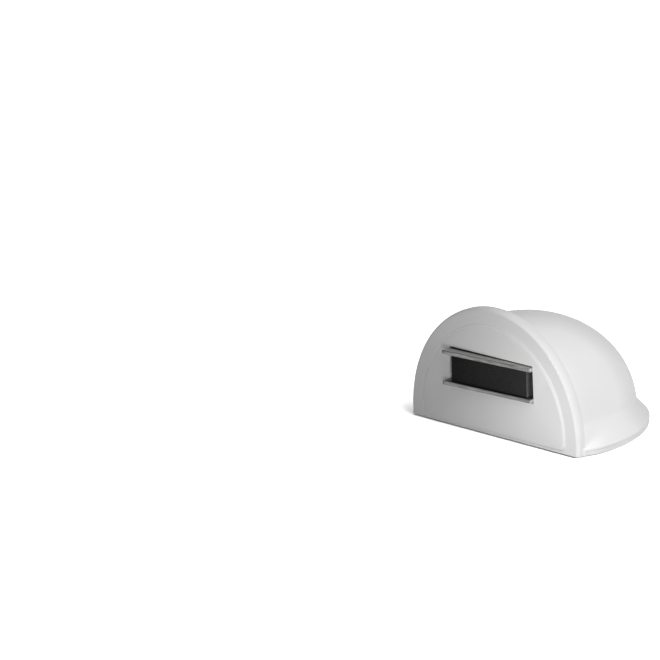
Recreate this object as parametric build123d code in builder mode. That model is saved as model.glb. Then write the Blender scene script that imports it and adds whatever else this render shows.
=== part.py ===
"""Magnetic door stop: a half-dome plastic moulding with a magnet pack in its flat front.

Units are millimetres. The underside is z = 0 and the flat front faces -Y.
The origin is on the underside, in the middle of the foot.
"""
import os
from math import asin, cos, degrees, radians, sin, sqrt

from build123d import *

os.makedirs("parts", exist_ok=True)

# housing, outside
front_y = -10.0            # flat front face
front_r = 35.0             # radius of the arch of the front plate
axis_z = 4.2               # height of the arch and dome centre line above the underside
rim_t = 3.0                # thickness of the front plate, all of it proud of the dome
rim_edge_r = 1.0           # rounded outer edge of the front plate
front_gap = 0.3            # the front plate stops this far above the underside
rim_step = 3.6             # the front plate stands this far out all round the dome
dome_y = 1.2               # where the dome starts to curve in
dome_len = 39.6            # from there to the back of the dome
wall = 2.2                 # moulded wall, a little more between the corners of the core
core_turn = 15             # the core inside the dome is straight-sided, with a corner every so many degrees
dome_breaks = (25, 50, 70)     # the dome's outline is drawn in arcs that meet at these angles

# raised panel on the front face
panel_inset = 4.9
panel_low_z = 2.2
panel_proud = 0.5
panel_corner_r = 1.8
panel_edge = 0.35          # bevel round the panel

# foot
foot_reach_x = 5.6         # the foot reaches this far beyond the side of the dome
foot_reach_y = 2.4         # and beyond its back
foot_lip = 0.6             # upright part of the foot's edge
foot_slope_in = 6.0        # the sloping top runs in this far
foot_slope_up = 6.2        # and up this far, inside the dome
foot_edge_r = 0.8
foot_cove_r = 1.6          # hollow corner between foot and dome
foot_start = 1.2           # the foot's curved front ends run out this far behind the front face
foot_tuck = 0.4            # and this far inside the edge of the front plate

# base plate and adhesive pad
pad_t = 0.5
base_t = 1.4
base_inset = 0.2           # base plate edge in from the foot edge
base_gap = 0.15            # base plate behind the front plate
pad_inset = 1.2            # pad edge in from the base plate edge
pad_corner_r = 3.0
spigot_h = 2.1
spigot_t = 1.4
spigot_gap = 0.25
spigot_front = 4.0         # the locating rib starts here, clear of the cradle's ears

# magnet pack: loose in its slot, so that it can turn to lie flat on its strike plate
pack_rise = 0.48           # from the centre line up to the middle of the pack, as a share of dome_r
pack_clear = 1.2           # from the pack's upper corners to the inside of the dome, which sets its width
pole_t = 1.2
pole_proud = 2.95          # past the front face, at the middle
shoulder_step = 1.8        # the plates are wider behind the front wall, so they cannot pull out
shoulder_d = 5.6
pole_corner_r = 0.4
magnet_step = 2.4          # end of the magnet in from the end of the plates
magnet_h = 8.3
magnet_back = 1.5          # magnet face behind the pole plate edges
magnet_edge_r = 0.3
pack_yaw = 3.8             # degrees that the pack lies askew, its left end out
wall_play = 0.05           # left shoulder to front wall
slot_side = 0.4
slot_low = 0.3
slot_high = 0.5

# cradle that holds the pack from behind
cradle_wall = 2.0
cradle_fit = 0.3           # play above the pack and round the cradle
cradle_side = 0.7          # play beside the pack, for its turn
cradle_low = 2.6           # the cradle's bottom wall below the pack
cradle_corner_r = 1.5
window_w = 22.0
window_h = 5.5
window_r = 1.5
ear_t = 2.5
ear_gap = 0.5              # ear screw's boss to the inside of the dome
ear_y = -1.4
ear_w = 7.0

# screws and bosses
screw_d = 2.9
screw_head_d = 5.5
base_screw_len = 9.5
cradle_screw_len = 6.5
pan_head_h = 1.9
pan_head_edge = 0.6        # bevel round the head
head_sunk = 0.1            # countersunk heads lie this far inside the plate
head_gap = 0.05            # round a countersunk head
head_angle = 90
boss_d = 6.6
hole_clear = 0.4           # clearance hole over the screw
bore_extra = 1.0           # boss bore goes on past the screw tip
boss_at_front = (0.83, 0.22)   # places of the base bosses, as shares of the inside of the dome
boss_at_rear = (0.445, 0.715)

# ribs inside the dome
rib_t = 1.5
rib_drop = 22.0            # they hang this far below the inside of the crown
rib_x = 7.0
rib_y = 6.0

near = 0.01                # tolerance when an edge is picked by its place
cut_past = 0.1             # cuts run this far past a face
quarter = 90
half = 180

dome_arcs = [end - start for start, end in zip((0, *dome_breaks), (*dome_breaks, quarter))]
dome_r = front_r - rim_step
foot_x = dome_r + foot_reach_x
foot_y = dome_y + dome_len + foot_reach_y
seat_z = pad_t + base_t
back_y = front_y + rim_t
inner_r = dome_r - wall
inner_len = dome_len - wall
top_z = axis_z + dome_r
front_boss_x, rear_boss_x = inner_r * boss_at_front[0], inner_r * boss_at_rear[0]
front_boss_y, rear_boss_y = dome_y + inner_len * boss_at_front[1], dome_y + inner_len * boss_at_rear[1]
base_bosses = ((front_boss_x, front_boss_y), (-front_boss_x, front_boss_y),
               (rear_boss_x, rear_boss_y), (-rear_boss_x, rear_boss_y))

# the pack's own lengths run back from its pivot in the plane of the front wall's rear face
pack_h = 2 * pole_t + magnet_h
pack_z = axis_z + pack_rise * dome_r - pack_h / 2
shoulder_w = 2 * sqrt((inner_r - pack_clear) ** 2 - (pack_z + pack_h - axis_z) ** 2)
pole_w = shoulder_w - 2 * shoulder_step
magnet_w = pole_w - 2 * magnet_step
swing = shoulder_w / 2 * sin(radians(pack_yaw))
shoulder_front = (swing + wall_play) / cos(radians(pack_yaw))
pack_rear = shoulder_front + shoulder_d
pack_front = -(rim_t + pole_proud) / cos(radians(pack_yaw))
magnet_d = pack_rear - pack_front - magnet_back
pocket_d = pack_rear + swing + wall_play
pocket_half = shoulder_w / 2 + cradle_side
cradle_z0 = pack_z - cradle_low
cradle_top = pack_z + pack_h + cradle_fit + cradle_wall
cradle_half = pocket_half + cradle_wall
cradle_back = back_y + pocket_d + cradle_wall
ear_x = inner_r - boss_d / 2 - ear_gap
ear_top = cradle_z0 + ear_t

front_plane = Plane((0, front_y, 0), x_dir=(1, 0, 0), z_dir=(0, -1, 0))
back_plane = Plane((0, back_y, 0), x_dir=(1, 0, 0), z_dir=(0, -1, 0))
pack_plane = Plane((0, back_y, 0)).rotated((0, 0, pack_yaw))
centre_line = Axis((0, 0, axis_z), (0, -1, 0))


def foot_outline(inset):
    """The foot in plan: half an ellipse, and an arc on each side that runs into the front plate."""
    corner = degrees(asin(dome_y / (foot_y - inset)))
    end_x = front_r - foot_tuck - inset
    with BuildSketch() as outline:
        with BuildLine():
            rear = EllipticalCenterArc((0, 0), foot_x - inset, foot_y - inset,
                                       start_angle=corner, arc_size=half - 2 * corner)
            left = TangentArc(rear @ 1, (-end_x, front_y + foot_start), tangent=rear % 1)
            right = TangentArc(rear @ 0, (end_x, front_y + foot_start), tangent=-(rear % 0))
            Line(left @ 1, right @ 1)
        make_face()
    return outline.sketch


def core_corners(inset):
    """Corners of the dome's core in plan, inset from the outside: the right half, front to back."""
    turns = [radians(turn) for turn in range(0, quarter, core_turn)]
    curve = [((dome_r - inset) * cos(turn), dome_y + (dome_len - inset) * sin(turn)) for turn in turns]
    return [(dome_r - inset, back_y)] + curve


def core_plan(inset):
    """The whole outline of the core in plan."""
    right = core_corners(inset)
    return right + [(-x, y) for x, y in reversed(right)]


def core_shape(inset, floor_z):
    """The dome's core: turned above the centre line, upright below it down to floor_z."""
    side = [(y, axis_z - x) for x, y in core_corners(inset)]
    with BuildPart() as shape:
        with BuildSketch(Plane.YZ):
            with BuildLine():
                Polyline((back_y, axis_z), *side, (side[-1][0], axis_z), close=True)
            make_face()
        revolve(axis=centre_line)
        split(bisect_by=Plane.XY.offset(axis_z), keep=Keep.TOP)
        with BuildSketch(Plane.XY.offset(floor_z)):
            with BuildLine():
                Polyline(*core_plan(inset), close=True)
            make_face()
        extrude(amount=axis_z - floor_z)
    return shape.part


# the dome outside: a turned half-dome on upright walls
with BuildPart() as dome:
    with BuildSketch(Plane.YZ):
        with BuildLine():
            Line((back_y, axis_z), (back_y, axis_z - dome_r))
            Line((back_y, axis_z - dome_r), (dome_y, axis_z - dome_r))
            for start, turn in zip((0, *dome_breaks), dome_arcs):
                EllipticalCenterArc((dome_y, axis_z), dome_len, dome_r,
                                    start_angle=start - quarter, arc_size=turn)
            Line((dome_y + dome_len, axis_z), (back_y, axis_z))
        make_face()
    revolve(axis=centre_line)
    split(bisect_by=Plane.XY.offset(axis_z), keep=Keep.TOP)
    with BuildSketch(Plane.XY.offset(seat_z)):
        with Locations((0, (back_y + dome_y) / 2)):
            Rectangle(2 * dome_r, dome_y - back_y)
        with Locations((0, dome_y)):
            Ellipse(dome_r, dome_len)
        with Locations((0, back_y - dome_len)):
            Rectangle(4 * dome_r, 2 * dome_len, mode=Mode.SUBTRACT)
    extrude(amount=axis_z - seat_z)

# bosses and ribs, ending inside the dome's wall
with BuildPart() as inner_work:
    with BuildSketch(Plane.XY.offset(seat_z)):
        with Locations(*base_bosses):
            Circle(boss_d / 2)
    extrude(amount=top_z)
    with BuildSketch(Plane.XY.offset(ear_top)):
        with Locations((ear_x, ear_y), (-ear_x, ear_y)):
            Circle(boss_d / 2)
    extrude(amount=top_z)
    with BuildSketch(Plane.XY.offset(axis_z + inner_r - rib_drop)):
        with Locations((rib_x, rib_y + dome_len / 2), (-rib_x, rib_y + dome_len / 2)):
            Rectangle(rib_t, dome_len)
    extrude(amount=top_z)
    add(core_shape(wall / 2, seat_z), mode=Mode.INTERSECT)
    # room for the cradle
    with BuildSketch(Plane.XY.offset(seat_z)):
        with Locations((0, (back_y + cradle_back) / 2)):
            Rectangle(2 * (cradle_half + cradle_fit), cradle_back + cradle_fit - back_y)
    extrude(amount=cradle_top + cradle_fit - seat_z, mode=Mode.SUBTRACT)

# front plate with its raised panel
with BuildPart() as front_plate:
    with BuildSketch(front_plane):
        with BuildLine():
            Line((-front_r, front_gap), (front_r, front_gap))
            Line((front_r, front_gap), (front_r, axis_z))
            CenterArc((0, axis_z), front_r, 0, half)
            Line((-front_r, axis_z), (-front_r, front_gap))
        make_face()
    extrude(amount=-rim_t)
    rim = front_plate.edges().filter_by_position(Axis.Y, front_y - near, front_y + near)
    fillet(rim.sort_by(Axis.Z)[1:], rim_edge_r)
    with BuildSketch(front_plane) as panel:
        with BuildLine():
            Line((panel_inset - front_r, panel_low_z), (front_r - panel_inset, panel_low_z))
            Line((front_r - panel_inset, panel_low_z), (front_r - panel_inset, axis_z))
            CenterArc((0, axis_z), front_r - panel_inset, 0, half)
            Line((panel_inset - front_r, axis_z), (panel_inset - front_r, panel_low_z))
        make_face()
        fillet(panel.vertices().sort_by(Axis.Y)[:2], panel_corner_r)
    extrude(amount=panel_proud)
    panel_y = front_y - panel_proud
    chamfer(front_plate.edges().filter_by_position(Axis.Y, panel_y - near, panel_y + near), panel_edge)

# foot: an upright lip with a sloping top that runs into the dome; its front ends run out in the front plate
lip_z = seat_z + foot_lip
with BuildPart() as foot:
    for inset, level in ((0, front_gap), (0, lip_z), (foot_slope_in, lip_z + foot_slope_up)):
        with BuildSketch(Plane.XY.offset(level)):
            add(foot_outline(inset))
        if level == front_gap:
            extrude(amount=lip_z - front_gap)
    loft(ruled=True)
    # below the seat only the front ends are left, beside the base plate
    with BuildSketch(Plane.XY.offset(front_gap)):
        with Locations((0, back_y + foot_y)):
            Rectangle(4 * foot_x, 2 * foot_y)
    extrude(amount=seat_z - front_gap, mode=Mode.SUBTRACT)
    lip_edges = foot.edges().filter_by_position(Axis.Z, lip_z - near, lip_z + near)
    fillet(lip_edges.sort_by(SortBy.LENGTH)[-1], foot_edge_r)

with BuildPart() as housing:
    add(dome.part)
    add(foot.part)
    on_slope = housing.edges().filter_by_position(Axis.Z, lip_z + foot_edge_r, lip_z + foot_slope_up)
    fillet(on_slope.filter_by(GeomType.BSPLINE).sort_by(SortBy.LENGTH)[-1], foot_cove_r)
    add(front_plate.part)
    # hollow, with bosses and ribs left standing in it
    add(core_shape(wall, 0), mode=Mode.SUBTRACT)
    add(inner_work.part)
    # slot for the magnet pack
    with BuildSketch(front_plane.offset(panel_proud + cut_past)):
        with Locations((0, pack_z + pack_h / 2 + (slot_high - slot_low) / 2)):
            Rectangle(pole_w + 2 * slot_side, pack_h + slot_low + slot_high)
    extrude(amount=-(rim_t + panel_proud + cut_past), mode=Mode.SUBTRACT)
    # screw bores
    with BuildSketch(Plane.XY.offset(seat_z)):
        with Locations(*base_bosses):
            Circle(screw_d / 2)
    extrude(amount=base_screw_len - base_t + bore_extra, mode=Mode.SUBTRACT)
    with BuildSketch(Plane.XY.offset(ear_top)):
        with Locations((ear_x, ear_y), (-ear_x, ear_y)):
            Circle(screw_d / 2)
    extrude(amount=cradle_screw_len - ear_t + bore_extra, mode=Mode.SUBTRACT)
housing.part.label = "housing"
export_step(housing.part, "parts/housing.step")

# pole plates: a tongue that passes the slot, with shoulders behind the front wall
for pole_name, pole_z in (("lower_pole_plate", pack_z), ("upper_pole_plate", pack_z + pole_t + magnet_h)):
    with BuildPart() as pole:
        with BuildSketch(pack_plane.offset(pole_z)) as pole_plan:
            with Locations((0, (pack_front + shoulder_front) / 2)):
                Rectangle(pole_w, shoulder_front - pack_front)
            with Locations((0, (shoulder_front + pack_rear) / 2)):
                Rectangle(shoulder_w, shoulder_d)
            fillet(pole_plan.vertices().sort_by(Axis.Y)[:2], pole_corner_r)
        extrude(amount=pole_t)
    pole.part.label = pole_name
    export_step(pole.part, f"parts/{pole_name}.step")

with BuildPart() as ferrite_magnet:
    with BuildSketch(pack_plane.offset(pack_z + pole_t)):
        with Locations((0, pack_rear - magnet_d / 2)):
            Rectangle(magnet_w, magnet_d)
    extrude(amount=magnet_h)
    fillet(ferrite_magnet.edges().filter_by(Axis.Z), magnet_edge_r)
ferrite_magnet.part.label = "ferrite_magnet"
export_step(ferrite_magnet.part, "parts/ferrite_magnet.step")

# cradle: a tray open to the front, with an ear at each end
with BuildPart() as magnet_cradle:
    with BuildSketch(Plane.XY.offset(cradle_z0)):
        with Locations((0, (back_y + cradle_back) / 2)):
            Rectangle(2 * cradle_half, cradle_back - back_y)
    extrude(amount=cradle_top - cradle_z0)
    fillet(magnet_cradle.edges().filter_by(Axis.Z).group_by(Axis.Y)[-1], cradle_corner_r)
    with BuildSketch(Plane.XY.offset(cradle_z0)) as ears:
        for side in (1, -1):
            with Locations((side * ear_x, ear_y)):
                Circle(ear_w / 2)
            with Locations((side * (ear_x + cradle_half - cradle_wall) / 2, ear_y)):
                Rectangle(ear_x - cradle_half + cradle_wall, ear_w)
    extrude(amount=ear_t)
    # pocket in which the pack can turn
    with BuildSketch(back_plane):
        with Locations((0, pack_z + (pack_h + cradle_fit) / 2)):
            Rectangle(2 * pocket_half, pack_h + cradle_fit)
    extrude(amount=-pocket_d, mode=Mode.SUBTRACT)
    # window in the rear wall
    with BuildSketch(back_plane.offset(-pocket_d)):
        with Locations((0, pack_z + pack_h / 2)):
            RectangleRounded(window_w, window_h, window_r)
    extrude(amount=-cradle_wall, mode=Mode.SUBTRACT)
    # screw holes in the ears
    with BuildSketch(Plane.XY.offset(cradle_z0)):
        with Locations((ear_x, ear_y), (-ear_x, ear_y)):
            Circle((screw_d + hole_clear) / 2)
    extrude(amount=ear_t, mode=Mode.SUBTRACT)
    # trimmed to pass inside the shell
    with BuildSketch(back_plane):
        with Locations((0, axis_z)):
            Circle(inner_r - cradle_fit)
    extrude(amount=back_y - cradle_back, mode=Mode.INTERSECT)
magnet_cradle.part.label = "magnet_cradle"
export_step(magnet_cradle.part, "parts/magnet_cradle.step")

# pan-head screws that hold the cradle, heads down
for side, side_name in ((1, "right"), (-1, "left")):
    with BuildPart() as cradle_screw:
        with BuildSketch(Plane.XY.offset(cradle_z0 - pan_head_h)):
            with Locations((side * ear_x, ear_y)):
                Circle(screw_head_d / 2)
        extrude(amount=pan_head_h)
        chamfer(cradle_screw.edges().group_by(Axis.Z)[0], pan_head_edge)
        with BuildSketch(Plane.XY.offset(cradle_z0)):
            with Locations((side * ear_x, ear_y)):
                Circle(screw_d / 2)
        extrude(amount=cradle_screw_len)
    cradle_screw.part.label = f"cradle_screw_{side_name}"
    export_step(cradle_screw.part, f"parts/cradle_screw_{side_name}.step")

# base plate with a locating rib inside the shell
with BuildPart() as base_plate:
    with BuildSketch(Plane.XY.offset(pad_t)):
        add(foot_outline(base_inset))
        with Locations((0, back_y + base_gap - foot_y)):
            Rectangle(4 * foot_x, 2 * foot_y, mode=Mode.SUBTRACT)
    extrude(amount=base_t)
    with BuildSketch(Plane.XY.offset(seat_z)):
        with BuildLine():
            Polyline(*core_plan(wall + spigot_gap), close=True)
        make_face()
        with BuildLine():
            Polyline(*core_plan(wall + spigot_gap + spigot_t), close=True)
        make_face(mode=Mode.SUBTRACT)
        with Locations((0, spigot_front - foot_y)):
            Rectangle(4 * foot_x, 2 * foot_y, mode=Mode.SUBTRACT)
        with Locations(*base_bosses):
            Circle(boss_d / 2 + spigot_gap, mode=Mode.SUBTRACT)
    extrude(amount=spigot_h)
    with Locations(*[Location((x, y, pad_t), (180, 0, 0)) for x, y in base_bosses]):
        CounterSinkHole((screw_d + hole_clear) / 2, screw_head_d / 2 + head_sunk + head_gap,
                        depth=base_t + spigot_h, counter_sink_angle=head_angle)
base_plate.part.label = "base_plate"
export_step(base_plate.part, "parts/base_plate.step")

# countersunk screws that hold the base plate, heads down
cone_h = (screw_head_d - screw_d) / 2
for number, (x, y) in enumerate(base_bosses, start=1):
    with BuildPart() as base_screw:
        with BuildSketch(Plane.XY.offset(pad_t + head_sunk)):
            with Locations((x, y)):
                Circle(screw_head_d / 2)
        extrude(amount=cone_h, taper=head_angle / 2)
        with BuildSketch(Plane.XY.offset(pad_t + head_sunk)):
            with Locations((x, y)):
                Circle(screw_d / 2)
        extrude(amount=base_screw_len)
    base_screw.part.label = f"base_screw_{number}"
    export_step(base_screw.part, f"parts/base_screw_{number}.step")

with BuildPart() as adhesive_pad:
    with BuildSketch() as pad_plan:
        add(foot_outline(base_inset + pad_inset))
        with Locations((0, back_y + base_gap + pad_inset - foot_y)):
            Rectangle(4 * foot_x, 2 * foot_y, mode=Mode.SUBTRACT)
        fillet(pad_plan.vertices().sort_by(Axis.Y)[:2], pad_corner_r)
    extrude(amount=pad_t)
adhesive_pad.part.label = "adhesive_pad"
export_step(adhesive_pad.part, "parts/adhesive_pad.step")
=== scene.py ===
"""A magnetic door stop: a white half-dome moulding with a steel-plated magnet pack in its flat front.

Everything is in metres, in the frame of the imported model: the stop stands on z = 0 and its flat front
faces -Y.
"""

from math import cos, radians, sin

import bmesh
import bpy
from mathutils import Matrix, Vector
from mathutils.geometry import convex_hull_2d


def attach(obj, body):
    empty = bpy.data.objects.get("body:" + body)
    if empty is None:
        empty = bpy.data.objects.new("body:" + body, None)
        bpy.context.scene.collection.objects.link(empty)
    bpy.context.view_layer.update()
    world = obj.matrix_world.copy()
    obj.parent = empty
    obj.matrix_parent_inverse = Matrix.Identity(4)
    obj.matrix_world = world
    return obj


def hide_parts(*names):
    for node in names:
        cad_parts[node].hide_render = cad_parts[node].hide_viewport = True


BODY = "root"
MM = 0.001
NEAR = 0.01 * MM
SAME_POINT = 1e-7
PLAIN = (1, 1, 1)

# the view: a long lens from the right of the front, with the stop low and to the right of the picture
PICTURE = 660
SENSOR = 36.0
LENS = 180.1
AIM = Vector((0, 15, 18)) * MM
AIM_PIXEL = (550.3, 361.3)
AIM_DISTANCE = 0.99845
TURN = radians(44.37)
TILT = radians(15.58)
ROLL = radians(1.0)
NEAREST_SEEN = 0.01
FURTHEST_SEEN = 50

# the housing's flat front, as the solid has it
FRONT_Y = -10.0 * MM
FRONT_THICK = 3.0 * MM
ARCH_Z = 4.2 * MM
PANEL_HALF_WIDTH = 30.15 * MM
PANEL_FOOT_Z = 2.2 * MM
PANEL_CORNER_TOP = 4.1 * MM
PANEL_TOP_Y = -10.45 * MM
RIM_ROUND_START = 33.98 * MM
RIM_ROUND_END_Y = -8.99 * MM
FRONT_EDGE_Z = 0.31 * MM

# past this distance from the middle of the arch, or below this height, the panel is clear of its slot
PAST_SLOT = 25.0 * MM
BELOW_SLOT_Z = 5.0 * MM

# how the flat front is changed; of two values the first is for the left or the low end
PANEL_FOOT_DROP = (1.55 * MM, 1.0 * MM)
PANEL_RELIEF = (0.08, 1.1)
PANEL_TOP_SHRINK = 0.988
PANEL_ROUND = 0.15 * MM
PANEL_ROUND_STEPS = 2
PANEL_EDGE_TURN = radians(12)
RIM_LOW_Z = 5.0 * MM
RIM_HIGH_Z = 11.0 * MM
RIM_DEEPEN = (1.4, 2.6)
FRONT_EDGE_LIFT = 0.18 * MM

# the magnet pack: how far its edges are broken, and how squarely a face looks one way for each finish
PLATE_BREAK = 0.20 * MM
PLATE_BREAK_STEPS = 2
FERRITE_EASE = 0.25 * MM
FERRITE_EASE_STEPS = 3
ONE_FLAT = radians(1)
UPRIGHT = 0.9
CORNER_FACING = 0.25
FLAT_FACING = 0.9
END_FACING = 0.7
FERRITE_END_FACING = 0.3
FLAT_FINISH, EDGE_FINISH, END_FINISH, CORNER_FINISH = range(4)

# shading: the turns up to which an edge is smooth, and the area in square metres past which it is sharp
SMOOTH_TURN = radians(22)
BROKEN_EDGE_TURN = radians(50)
LEVEL_TURN = radians(0.8)
LARGE_FACE = 4e-6
FACES_FRONT = 0.99999

# where the white moulding has painted shade: edge-on, and on the rim towards its right
EDGE_SHADE = (0.58, 0.58, 0.58)
EDGE_SHADE_FROM = 0.50
# painted shade on the rim, growing towards its right and fading out low down
RIM_PAINTED_SHADE = (0.885, 0.885, 0.885)
RIM_REACH = 40.0 * MM
RIM_INSIDE = 33.8 * MM
RIM_OUTSIDE = 34.6 * MM
RIM_PAINTED_SHADE_FROM = 8.0 * MM
RIM_PAINTED_SHADE_TO = 33.0 * MM
RIM_BACK_Y = -7.05 * MM
RIM_BEHIND_Y = -6.6 * MM
RIM_LOW_END = 3.0 * MM
RIM_LOW_FADE = 15.0 * MM

# where painted light and shade on the steel and the ferrite change along their length, and where the steel
# goes into its slot and takes black painted shade
FERRITE_HALF = 14.0 * MM
STEEL_HALF = 17.0 * MM
BESIDE_FERRITE = 14.9 * MM
PAST_FERRITE = 15.6 * MM
OPEN_STEEL_Y = -10.9 * MM
HIDDEN_STEEL_Y = -10.2 * MM
STEEL_TURN = radians(-2.3)
# black painted shade on the steel inside its slot
SLOT_PAINTED_SHADE = (0.05, 0.05, 0.05)
STREAK_SMOOTHER = 0.07
STREAK_ROUGHER = 0.09
# painted shade at the ferrite's left end and painted light at its right end
FERRITE_PAINTED_SHADE_LEFT = (0.62, 0.62, 0.62)
FERRITE_PAINTED_LIGHT_RIGHT = (1.3, 1.3, 1.3)

# the floor and the room: their size, how bright they light the stop and how bright they are seen
FLOOR_HALF = 6.0
FLOOR_BOUNCE = 0.30
FLOOR_SEEN = 3.3
FLOOR_SEEN_FAR = 12.0
FLOOR_NEAR = 0.12
FLOOR_FAR = 0.60
PAD_OPENING = 0.97
AMBIENT = 0.155

# what the lamps face
STOP_MIDDLE = (0, 0.01, 0.015)
FRONT_RIGHT = (0.02, -0.01, 0.015)

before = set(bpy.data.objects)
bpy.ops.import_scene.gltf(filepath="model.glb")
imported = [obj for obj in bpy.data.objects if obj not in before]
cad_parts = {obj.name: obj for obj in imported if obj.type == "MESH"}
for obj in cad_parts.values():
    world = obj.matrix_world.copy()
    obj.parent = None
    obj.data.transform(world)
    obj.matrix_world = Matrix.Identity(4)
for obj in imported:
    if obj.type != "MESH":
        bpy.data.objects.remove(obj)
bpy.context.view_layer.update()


def made_of(obj, material):
    """Gives a piece one material."""
    obj.data.materials.clear()
    obj.data.materials.append(material)
    for face in obj.data.polygons:
        face.material_index = 0


def new_material(name):
    """A node material with its shader and output; returns the tree and the shader too."""
    material = bpy.data.materials.new(name)
    material.use_nodes = True
    tree = material.node_tree
    shader = tree.nodes["Principled BSDF"]
    return material, tree, shader


def add_node(tree, kind, **settings):
    """Adds a node; settings name its properties."""
    node = tree.nodes.new(kind)
    for key, value in settings.items():
        setattr(node, key, value)
    return node


def object_places(tree, stretch=(1, 1, 1), turn=0.0):
    """Object coordinates, stretched along each axis and turned about the upright."""
    places = add_node(tree, "ShaderNodeTexCoord")
    mapping = add_node(tree, "ShaderNodeMapping")
    mapping.inputs["Rotation"].default_value = (0, 0, turn)
    mapping.inputs["Scale"].default_value = stretch
    tree.links.new(places.outputs["Object"], mapping.inputs["Vector"])
    return mapping.outputs["Vector"]


def split_axes(tree, places):
    """The outputs X, Y and Z of some places."""
    axes = add_node(tree, "ShaderNodeSeparateXYZ")
    tree.links.new(places, axes.inputs["Vector"])
    return axes.outputs


def length(tree, vector):
    """How long a vector is."""
    node = add_node(tree, "ShaderNodeVectorMath", operation="LENGTH")
    tree.links.new(vector, node.inputs[0])
    return node.outputs["Value"]


def joined(tree, operation, one, other):
    """Two values made one, by the operation that is named."""
    node = add_node(tree, "ShaderNodeMath", operation=operation)
    tree.links.new(one, node.inputs[0])
    tree.links.new(other, node.inputs[1])
    return node.outputs["Value"]


def noise(tree, places, scale, detail, rough=0.5):
    """Noise of so many blotches to the metre."""
    node = add_node(tree, "ShaderNodeTexNoise")
    node.inputs["Scale"].default_value = scale
    node.inputs["Detail"].default_value = detail
    node.inputs["Roughness"].default_value = rough
    tree.links.new(places, node.inputs["Vector"])
    return node.outputs["Fac"]


def spread(tree, factor, low, high, start=0.3, end=0.7):
    """Turns a factor that goes from start to end into a value from low to high."""
    node = add_node(tree, "ShaderNodeMapRange")
    node.inputs["From Min"].default_value = start
    node.inputs["From Max"].default_value = end
    node.inputs["To Min"].default_value = low
    node.inputs["To Max"].default_value = high
    tree.links.new(factor, node.inputs["Value"])
    return node.outputs["Result"]


def blend_colours(tree, factor, one, other):
    """Mixes two colours by a factor."""
    node = add_node(tree, "ShaderNodeMix", data_type="RGBA")
    node.inputs["A"].default_value = (*one, 1)
    node.inputs["B"].default_value = (*other, 1)
    tree.links.new(factor, node.inputs["Factor"])
    return node.outputs["Result"]


def multiplied(tree, one, other):
    """The product of two colours."""
    node = add_node(tree, "ShaderNodeMix", data_type="RGBA", blend_type="MULTIPLY")
    node.inputs["Factor"].default_value = 1.0
    tree.links.new(one, node.inputs["A"])
    tree.links.new(other, node.inputs["B"])
    return node.outputs["Result"]


def bump(tree, shader, height, depth, after=None):
    """A relief of so many metres; chained to an earlier one where it is given."""
    node = add_node(tree, "ShaderNodeBump")
    node.inputs["Strength"].default_value = 1.0
    node.inputs["Distance"].default_value = depth
    tree.links.new(height, node.inputs["Height"])
    if after:
        tree.links.new(after, node.inputs["Normal"])
    tree.links.new(node.outputs["Normal"], shader.inputs["Normal"])
    return node.outputs["Normal"]


def rim_to_the_right(tree, places):
    """Where the rim's painted shade falls: grows to one over the round and the side of the front's rim,
    towards its right; zero elsewhere.
    """
    axes = split_axes(tree, places)
    above = spread(tree, axes["Z"], low=0, high=RIM_REACH, start=ARCH_Z, end=ARCH_Z + RIM_REACH)
    spoke = add_node(tree, "ShaderNodeCombineXYZ")
    tree.links.new(axes["X"], spoke.inputs["X"])
    tree.links.new(above, spoke.inputs["Y"])
    reach = length(tree, spoke.outputs["Vector"])
    total = spread(tree, reach, low=0, high=1, start=RIM_INSIDE, end=RIM_OUTSIDE)
    for other in (
        spread(tree, axes["X"], low=0, high=1, start=RIM_PAINTED_SHADE_FROM, end=RIM_PAINTED_SHADE_TO),
        spread(tree, axes["Y"], low=1, high=0, start=RIM_BACK_Y, end=RIM_BEHIND_Y),
        spread(tree, axes["Z"], low=0, high=1, start=RIM_LOW_END, end=RIM_LOW_FADE),
    ):
        total = joined(tree, "MULTIPLY", total, other)
    return total


def white_moulding():
    """White moulded plastic, satin, with a faint cloudiness and a very fine grain, and painted shade edge-on
    and on its rim.
    """
    material, tree, shader = new_material("white_moulding")
    places = object_places(tree)
    cloud = noise(tree, places, scale=90, detail=2)
    tint = blend_colours(tree, cloud, (0.80, 0.80, 0.795), (0.84, 0.84, 0.84))
    # painted shade on the round and the side of the rim, towards its right
    rim_painted_shade = blend_colours(tree, rim_to_the_right(tree, places), PLAIN, RIM_PAINTED_SHADE)
    tint = multiplied(tree, rim_painted_shade, tint)
    # painted shade where the surface is seen edge-on
    edge_on = add_node(tree, "ShaderNodeLayerWeight")
    edge_on.inputs["Blend"].default_value = 0.5
    soft_edge = spread(tree, edge_on.outputs["Facing"], low=0, high=1, start=EDGE_SHADE_FROM, end=1)
    tint = multiplied(tree, blend_colours(tree, soft_edge, PLAIN, EDGE_SHADE), tint)
    tree.links.new(tint, shader.inputs["Base Color"])
    satin = spread(tree, noise(tree, places, scale=260, detail=4), low=0.42, high=0.50)
    tree.links.new(satin, shader.inputs["Roughness"])
    shader.inputs["IOR"].default_value = 1.5
    shader.inputs["Specular IOR Level"].default_value = 0.15
    slow = bump(tree, shader, noise(tree, places, scale=140, detail=1), depth=6e-6)
    bump(tree, shader, noise(tree, places, scale=5200, detail=2), depth=1.2e-6, after=slow)
    return material


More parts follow.
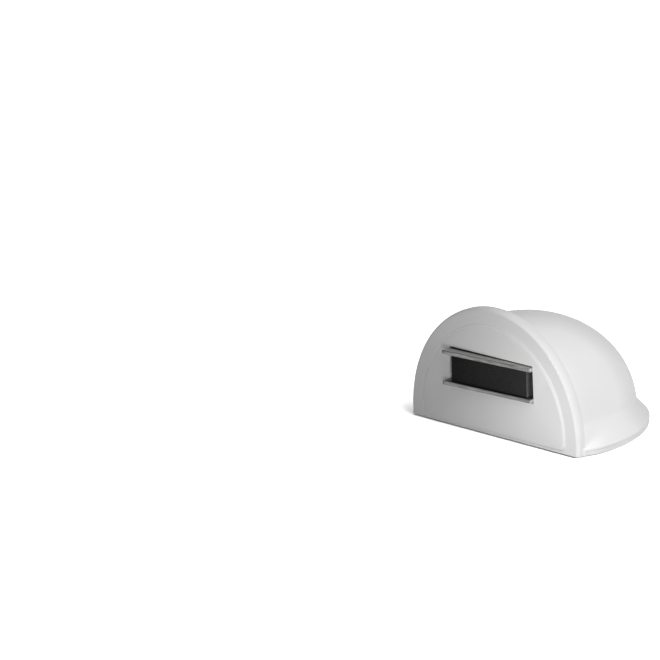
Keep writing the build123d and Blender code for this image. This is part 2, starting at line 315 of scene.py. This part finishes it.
def steel(name, dark, light, rough, metallic=0.85, painted_slot_shade=False, painted_light_right=1.0, painted_shade_by_ferrite=1.0):
    """Plain steel strip, streaked along its length, with painted light brighter towards its right end.

    Where it is asked for, it has black painted shade inside its slot and painted shade over the width of the
    ferrite.
    """
    material, tree, shader = new_material(name)
    along = object_places(tree, stretch=(0.06, 1, 1))
    streak = noise(tree, along, scale=2600, detail=6, rough=0.7)
    patch = noise(tree, object_places(tree, stretch=(0.35, 1, 1)), scale=420, detail=3)
    worn = blend_colours(tree, spread(tree, patch, low=0, high=1), (0.82, 0.82, 0.82), (1.12, 1.12, 1.11))
    in_streaks = spread(tree, streak, low=0, high=1, start=0.36, end=0.64)
    tint = multiplied(tree, worn, blend_colours(tree, in_streaks, dark, light))
    axes = split_axes(tree, object_places(tree, turn=STEEL_TURN))
    # painted light: brighter towards the right end by the given factor
    across = spread(tree, axes["X"], low=0, high=1, start=-STEEL_HALF, end=STEEL_HALF)
    tint = multiplied(tree, blend_colours(tree, across, PLAIN, (painted_light_right,) * 3), tint)
    # painted shade over the width of the ferrite, by the given factor
    from_middle = add_node(tree, "ShaderNodeMath", operation="ABSOLUTE")
    tree.links.new(axes["X"], from_middle.inputs[0])
    beyond = spread(tree, from_middle.outputs["Value"], low=0, high=1, start=BESIDE_FERRITE, end=PAST_FERRITE)
    tint = multiplied(tree, blend_colours(tree, beyond, (painted_shade_by_ferrite,) * 3, PLAIN), tint)
    # painted shade: black inside the slot
    if painted_slot_shade:
        inside = spread(tree, axes["Y"], low=0, high=1, start=OPEN_STEEL_Y, end=HIDDEN_STEEL_Y)
        tint = multiplied(tree, blend_colours(tree, inside, PLAIN, SLOT_PAINTED_SHADE), tint)
    tree.links.new(tint, shader.inputs["Base Color"])
    sheen = spread(tree, streak, low=rough - STREAK_SMOOTHER, high=rough + STREAK_ROUGHER)
    tree.links.new(sheen, shader.inputs["Roughness"])
    shader.inputs["Metallic"].default_value = metallic
    bump(tree, shader, streak, depth=8e-6)
    return material


def ferrite(name, dark, light):
    """Ferrite: near black, dull, with fine pores and faint bands across its length, with painted shade to the
    left and painted light to the right.
    """
    material, tree, shader = new_material(name)
    places = object_places(tree)
    grain = noise(tree, places, scale=3000, detail=5)
    band = noise(tree, object_places(tree, stretch=(1, 0.1, 0.1)), scale=190, detail=2)
    cast = blend_colours(tree, spread(tree, band, low=0, high=1), (1.04, 1.03, 1.0), (0.90, 0.90, 0.97))
    tint = multiplied(tree, cast, blend_colours(tree, spread(tree, grain, low=0, high=1), dark, light))
    axes = split_axes(tree, places)
    # painted shade to the left and painted light to the right
    along = spread(tree, axes["X"], low=0, high=1, start=-FERRITE_HALF, end=FERRITE_HALF)
    tint = multiplied(tree, blend_colours(tree, along, FERRITE_PAINTED_SHADE_LEFT, FERRITE_PAINTED_LIGHT_RIGHT), tint)
    tree.links.new(tint, shader.inputs["Base Color"])
    tree.links.new(spread(tree, grain, low=0.5, high=0.65), shader.inputs["Roughness"])
    shader.inputs["Specular IOR Level"].default_value = 0.02
    bump(tree, shader, grain, depth=5e-6)
    return material


def black_moulding():
    """Black moulded plastic with a light spark texture."""
    material, tree, shader = new_material("black_moulding")
    grain = noise(tree, object_places(tree), scale=4200, detail=3)
    tint = blend_colours(tree, grain, (0.014, 0.014, 0.015), (0.026, 0.026, 0.027))
    tree.links.new(tint, shader.inputs["Base Color"])
    shader.inputs["Roughness"].default_value = 0.55
    bump(tree, shader, grain, depth=9e-6)
    return material


def zinc_plate():
    """Zinc-plated steel of the screws."""
    material, tree, shader = new_material("zinc_plate")
    mottle = noise(tree, object_places(tree), scale=1800, detail=4)
    tint = blend_colours(tree, mottle, (0.42, 0.43, 0.45), (0.62, 0.63, 0.66))
    tree.links.new(tint, shader.inputs["Base Color"])
    tree.links.new(spread(tree, mottle, low=0.28, high=0.42), shader.inputs["Roughness"])
    shader.inputs["Metallic"].default_value = 1.0
    bump(tree, shader, mottle, depth=4e-6)
    return material


def foam_tape():
    """Dark grey foam tape with open cells at its cut edge."""
    material, tree, shader = new_material("foam_tape")
    cells = noise(tree, object_places(tree), scale=2400, detail=5, rough=0.7)
    open_cells = spread(tree, cells, low=0, high=1)
    tint = blend_colours(tree, open_cells, (0.030, 0.030, 0.031), (0.060, 0.060, 0.062))
    tree.links.new(tint, shader.inputs["Base Color"])
    shader.inputs["Roughness"].default_value = 0.85
    bump(tree, shader, cells, depth=3e-5)
    return material


WHITE = white_moulding()
# the upper plate's flats: rolled steel, lighter than the sheared edges as a painted reflection, with painted
# light to the right and painted shade in its slot
ROLLED_PAINTED_LIGHT = steel(
    "rolled_steel_painted_light",
    dark=(0.22, 0.22, 0.215),
    light=(0.52, 0.52, 0.51),
    rough=0.46,
    painted_slot_shade=True,
    painted_light_right=1.45,
)
SHEARED = steel("sheared_steel", dark=(0.085, 0.085, 0.083), light=(0.21, 0.21, 0.205), rough=0.44)
LOW_SHEARED = steel("low_sheared_steel", dark=(0.095, 0.095, 0.093), light=(0.20, 0.20, 0.196), rough=0.46)
# the plates' cut ends: pale, partly as cut and partly as a painted highlight where the side light falls
CUT_END_HIGHLIGHT = steel("cut_steel_end_painted_highlight", dark=(0.40, 0.40, 0.39), light=(0.66, 0.66, 0.65), rough=0.50, metallic=0.3)
# the lower plate's top: a darker copy of the steel as painted shade, ten times darker still beside the
# ferrite
PAINTED_SHADE_TOP = steel(
    "steel_top_painted_shade",
    dark=(0.06, 0.06, 0.06),
    light=(0.15, 0.15, 0.147),
    rough=0.50,
    painted_shade_by_ferrite=0.1,
)
# the upper plate's upper front corner: darker steel, with painted light four times brighter towards the right
DARK_CORNER = steel(
    "dark_steel_corner",
    dark=(0.03, 0.03, 0.03),
    light=(0.09, 0.09, 0.088),
    rough=0.50,
    painted_light_right=4.0,
)
GROUND = ferrite("ground_ferrite", dark=(0.016, 0.016, 0.016), light=(0.034, 0.034, 0.034))
# the ferrite's ends: paler, partly as sintered and partly as painted light where the slot leaves them in
# shade
SINTERED_PAINTED_LIGHT = ferrite("sintered_ferrite_painted_light", dark=(0.08, 0.08, 0.08), light=(0.13, 0.13, 0.13))
BLACK = black_moulding()
ZINC = zinc_plate()
FOAM = foam_tape()


def own_copy(node_name, piece_name):
    """A copy of a node's surface with its loose triangles joined, ready to be dressed."""
    shape = bmesh.new()
    shape.from_mesh(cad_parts[node_name].data)
    bmesh.ops.remove_doubles(shape, verts=shape.verts, dist=SAME_POINT)
    return shape, bpy.data.meshes.new(piece_name)


def flat_sided_copy(node_name, piece_name):
    """A copy of a node whose flat sides are one face each."""
    shape, mesh = own_copy(node_name, piece_name)
    bmesh.ops.dissolve_limit(shape, angle_limit=ONE_FLAT, verts=shape.verts, edges=shape.edges)
    return shape, mesh


def round_edges(shape, edges, offset, steps):
    """Rounds the given edges in so many steps."""
    bmesh.ops.bevel(shape, geom=edges, offset=offset, segments=steps, profile=0.5, affect="EDGES")
    shape.normal_update()


def shade_flat_and_round(shape, smooth_up_to=SMOOTH_TURN):
    """Smooth over small turns only, and never across the border of the flat front or of a large flat face."""
    for face in shape.faces:
        face.smooth = True
    for edge in shape.edges:
        edge.smooth = False
        if len(edge.link_faces) == 2:
            turn = edge.calc_face_angle()
            large = max(face.calc_area() for face in edge.link_faces) > LARGE_FACE
            front = any(abs(face.normal.y) > FACES_FRONT for face in edge.link_faces)
            edge.smooth = turn < LEVEL_TURN or (turn < smooth_up_to and not large and not front)


def dressed(shape, mesh, materials, node_name):
    """Makes the finished piece that stands for a node; each face keeps the number of its material."""
    shape.to_mesh(mesh)
    shape.free()
    for material in materials:
        mesh.materials.append(material)
    piece = bpy.data.objects.new(mesh.name, mesh)
    bpy.context.scene.collection.objects.link(piece)
    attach(piece, BODY)
    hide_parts(node_name)


def part_way(value, start, end):
    """How far a value has come from start to end, from zero to one."""
    return min(max((value - start) / (end - start), 0), 1)


def between(ends, part):
    """The value that lies so far from the first end to the second."""
    return ends[0] + (ends[1] - ends[0]) * part


def from_arch(place):
    """How far a place lies from the middle of the front's arch, seen from the front."""
    return Vector((place.x, place.z - ARCH_Z)).length


def from_uprights(place):
    """The same, but sideways only where the place is lower than the arch."""
    return Vector((place.x, max(place.z - ARCH_Z, 0))).length


def change_front(place):
    """Moves one corner of the flat front: the panel's foot, top and relief, or the round of the rim."""
    across = part_way(place.x, -PANEL_HALF_WIDTH, PANEL_HALF_WIDTH)
    in_foot = abs(place.x) < PANEL_HALF_WIDTH and PANEL_FOOT_Z - NEAR < place.z < PANEL_CORNER_TOP
    if place.y < FRONT_Y + NEAR and in_foot:
        place.z -= between(PANEL_FOOT_DROP, across) * part_way(place.z, PANEL_CORNER_TOP, PANEL_FOOT_Z)
    if FRONT_Y - NEAR < place.y < RIM_ROUND_END_Y and from_uprights(place) > RIM_ROUND_START:
        deepen = between(RIM_DEEPEN, part_way(place.z, RIM_LOW_Z, RIM_HIGH_Z))
        place.y = FRONT_Y + (place.y - FRONT_Y) * deepen
    if place.y < PANEL_TOP_Y and from_arch(place) > PAST_SLOT:
        place.x *= PANEL_TOP_SHRINK
        place.z = ARCH_Z + (place.z - ARCH_Z) * PANEL_TOP_SHRINK
    if place.y < FRONT_Y - NEAR:
        place.y = FRONT_Y + (place.y - FRONT_Y) * between(PANEL_RELIEF, across)
    if place.z < FRONT_EDGE_Z and place.y < FRONT_Y + FRONT_THICK:
        place.z += FRONT_EDGE_LIFT


def is_panel_edge(edge):
    """Whether an edge is one of the raised panel's outer edges; the slot in it stays sharp."""
    on_panel = all(end.co.y < FRONT_Y - NEAR for end in edge.verts)
    off_slot = all(from_arch(end.co) > PAST_SLOT or end.co.z < BELOW_SLOT_Z for end in edge.verts)
    paired = len(edge.link_faces) == 2
    return on_panel and off_slot and paired and edge.calc_face_angle() > PANEL_EDGE_TURN


def moulded_housing():
    """The housing with a soft edge round its panel, which sinks towards the left, and smooth round parts."""
    shape, mesh = own_copy("housing", "moulded_housing")
    for vert in shape.verts:
        change_front(vert.co)
    panel_edges = [edge for edge in shape.edges if is_panel_edge(edge)]
    round_edges(shape, panel_edges, PANEL_ROUND, PANEL_ROUND_STEPS)
    shade_flat_and_round(shape)
    dressed(shape, mesh, [WHITE], "housing")


def plate_finish(facing):
    """The number of the finish of a plate's face, by the way that it faces, which sets its painted light and
    shade.
    """
    if facing.z > CORNER_FACING and facing.y < -CORNER_FACING:
        return CORNER_FINISH
    if abs(facing.z) > FLAT_FACING:
        return FLAT_FINISH
    if abs(facing.x) > END_FACING:
        return END_FINISH
    return EDGE_FINISH


def pole_plate(node_name, flat, edge, corner):
    """A sheared steel plate, its edges just broken, with a finish for its flats, edges and upper corner."""
    shape, mesh = flat_sided_copy(node_name, f"dressed_{node_name}")
    round_edges(shape, list(shape.edges), PLATE_BREAK, PLATE_BREAK_STEPS)
    for face in shape.faces:
        face.material_index = plate_finish(face.normal)
    shade_flat_and_round(shape, smooth_up_to=BROKEN_EDGE_TURN)
    dressed(shape, mesh, [flat, edge, CUT_END_HIGHLIGHT, corner], node_name)


def is_upright(edge):
    """Whether an edge stands upright."""
    one, other = edge.verts
    return abs((one.co - other.co).normalized().z) > UPRIGHT


def ground_ferrite():
    """The ferrite block with its corners eased by grinding, and its ends paler, partly as sintered and partly
    as painted light.
    """
    shape, mesh = flat_sided_copy("ferrite_magnet", "ground_ferrite")
    round_edges(shape, [edge for edge in shape.edges if is_upright(edge)], FERRITE_EASE, FERRITE_EASE_STEPS)
    for face in shape.faces:
        # the ends take the paler finish: partly sintered, partly painted light
        face.material_index = 1 if abs(face.normal.x) > FERRITE_END_FACING else 0
    shade_flat_and_round(shape, smooth_up_to=BROKEN_EDGE_TURN)
    dressed(shape, mesh, [GROUND, SINTERED_PAINTED_LIGHT], "ferrite_magnet")


moulded_housing()
# the plates' finishes carry painted light and shade: lighter flats and ends, and shade on the lower plate's
# top
pole_plate("upper_pole_plate", ROLLED_PAINTED_LIGHT, SHEARED, DARK_CORNER)
pole_plate("lower_pole_plate", PAINTED_SHADE_TOP, LOW_SHEARED, LOW_SHEARED)
ground_ferrite()

finishes = {
    "magnet_cradle": BLACK,
    "base_plate": WHITE,
    "adhesive_pad": FOAM,
}
for node_name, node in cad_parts.items():
    if "screw" in node_name:
        made_of(node, ZINC)
    elif node_name in finishes:
        made_of(node, finishes[node_name])


def seen_ray(tree):
    """One for the rays by which the room is seen: straight, in a reflection or through a clear piece."""
    rays = add_node(tree, "ShaderNodeLightPath").outputs
    total = rays["Is Camera Ray"]
    for kind in ("Is Glossy Ray", "Is Transmission Ray"):
        total = joined(tree, "MAXIMUM", total, rays[kind])
    return total


def mix_shaders(tree, factor, one, other):
    """Goes from one shader to the other by a factor."""
    node = add_node(tree, "ShaderNodeMixShader")
    tree.links.new(factor, node.inputs["Fac"])
    tree.links.new(one, node.inputs[1])
    tree.links.new(other, node.inputs[2])
    return node.outputs["Shader"]


def floor_finish():
    """Seen brighter than it lights the stop, so that it is white but keeps its shadow; clear from below."""
    material, tree, shader = new_material("pale_floor")
    tree.nodes.remove(shader)
    lights = add_node(tree, "ShaderNodeBsdfDiffuse")
    lights.inputs["Color"].default_value = (FLOOR_BOUNCE, FLOOR_BOUNCE, FLOOR_BOUNCE, 1)
    shows = add_node(tree, "ShaderNodeBsdfDiffuse")
    away = length(tree, object_places(tree))
    brightness = spread(tree, away, low=FLOOR_SEEN, high=FLOOR_SEEN_FAR, start=FLOOR_NEAR, end=FLOOR_FAR)
    tree.links.new(brightness, shows.inputs["Color"])
    lit = mix_shaders(tree, seen_ray(tree), lights.outputs["BSDF"], shows.outputs["BSDF"])
    below = add_node(tree, "ShaderNodeNewGeometry")
    clear = add_node(tree, "ShaderNodeBsdfTransparent")
    one_way = mix_shaders(tree, below.outputs["Backfacing"], lit, clear.outputs["BSDF"])
    tree.links.new(one_way, tree.nodes["Material Output"].inputs["Surface"])
    return material


def pad_outline():
    """Just inside the outline of the foam pad, where the floor is open so that its underside is lit."""
    low = [vert.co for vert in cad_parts["adhesive_pad"].data.vertices if vert.co.z < NEAR]
    middle = sum(low, Vector()) / len(low)
    around = convex_hull_2d([corner.to_2d() for corner in low])
    return [middle + (low[place] - middle) * PAD_OPENING for place in around]


def pale_floor():
    """A plain floor, open under the pad."""
    mesh = bpy.data.meshes.new("pale_floor")
    sheet = bmesh.new()
    border = [Vector((x, y, 0)) * FLOOR_HALF for x, y in ((-1, -1), (1, -1), (1, 1), (-1, 1))]
    for loop in (border, pad_outline()):
        corners = [sheet.verts.new(corner) for corner in loop]
        for first, second in zip(corners, corners[1:] + corners[:1]):
            sheet.edges.new((first, second))
    bmesh.ops.triangle_fill(sheet, edges=sheet.edges, use_beauty=True, use_dissolve=False, normal=(0, 0, 1))
    sheet.to_mesh(mesh)
    sheet.free()
    floor = bpy.data.objects.new("pale_floor", mesh)
    bpy.context.scene.collection.objects.link(floor)
    made_of(floor, floor_finish())


def pale_room():
    """A pale room all round: white where it is seen, softer where it lights the stop."""
    world = bpy.data.worlds.new("pale_room")
    world.use_nodes = True
    bpy.context.scene.world = world
    tree = world.node_tree
    lights = tree.nodes["Background"]
    lights.inputs["Color"].default_value = (1, 1, 1, 1)
    lights.inputs["Strength"].default_value = AMBIENT
    shows = add_node(tree, "ShaderNodeBackground")
    shows.inputs["Color"].default_value = (1, 1, 1, 1)
    lit = mix_shaders(tree, seen_ray(tree), lights.outputs["Background"], shows.outputs["Background"])
    tree.links.new(lit, tree.nodes["World Output"].inputs["Surface"])


def softbox(name, place, target, size, watts, falls_on=None):
    """A soft square lamp that faces its target, seen only by its light; on the given objects or on all."""
    lamp = bpy.data.lights.new(name, "AREA")
    lamp.size = size
    lamp.energy = watts
    holder = bpy.data.objects.new(name, lamp)
    holder.location = place
    holder.rotation_euler = (Vector(target) - Vector(place)).to_track_quat("-Z", "Y").to_euler()
    holder.visible_camera = False
    holder.visible_glossy = False
    if falls_on:
        lit = bpy.data.collections.new(f"{name}_falls_on")
        for piece in falls_on:
            lit.objects.link(piece)
        holder.light_linking.receiver_collection = lit
    bpy.context.scene.collection.objects.link(holder)


def camera():
    """The camera, turned so that the aim point lands on its pixel with no shift of the lens."""
    lens = bpy.data.cameras.new("camera")
    lens.sensor_width = SENSOR
    lens.lens = LENS
    lens.clip_start = NEAREST_SEEN
    lens.clip_end = FURTHEST_SEEN
    eye = bpy.data.objects.new("camera", lens)
    look = Vector((-sin(TURN) * cos(TILT), cos(TURN) * cos(TILT), -sin(TILT)))
    focal = LENS / SENSOR * PICTURE
    off_axis = Vector(((AIM_PIXEL[0] - PICTURE / 2) / focal, (PICTURE / 2 - AIM_PIXEL[1]) / focal, -1))
    facing = look.to_track_quat("-Z", "Y").to_matrix()
    rolled = facing @ Matrix.Rotation(-ROLL, 3, "Z")
    framed = rolled @ off_axis.rotation_difference(Vector((0, 0, -1))).to_matrix()
    eye.matrix_world = Matrix.Translation(AIM - look * AIM_DISTANCE) @ framed.to_4x4()
    bpy.context.scene.collection.objects.link(eye)
    bpy.context.scene.camera = eye


stop_pieces = [piece for piece in bpy.context.scene.objects if piece.type == "MESH"]
pale_floor()
pale_room()
softbox("side_light", place=(0.49, 0.01, 0.37), target=STOP_MIDDLE, size=0.60, watts=3.65)
softbox(
    "rear_light",
    place=(-0.46, 0.42, 0.10),
    target=STOP_MIDDLE,
    size=0.50,
    watts=2.6,
    falls_on=stop_pieces,
)
softbox(
    "front_light",
    place=(0.040, -0.066, 0.018),
    target=FRONT_RIGHT,
    size=0.02,
    watts=0.0205,
    falls_on=stop_pieces,
)
camera()

bpy.context.scene.view_settings.view_transform = "Standard"
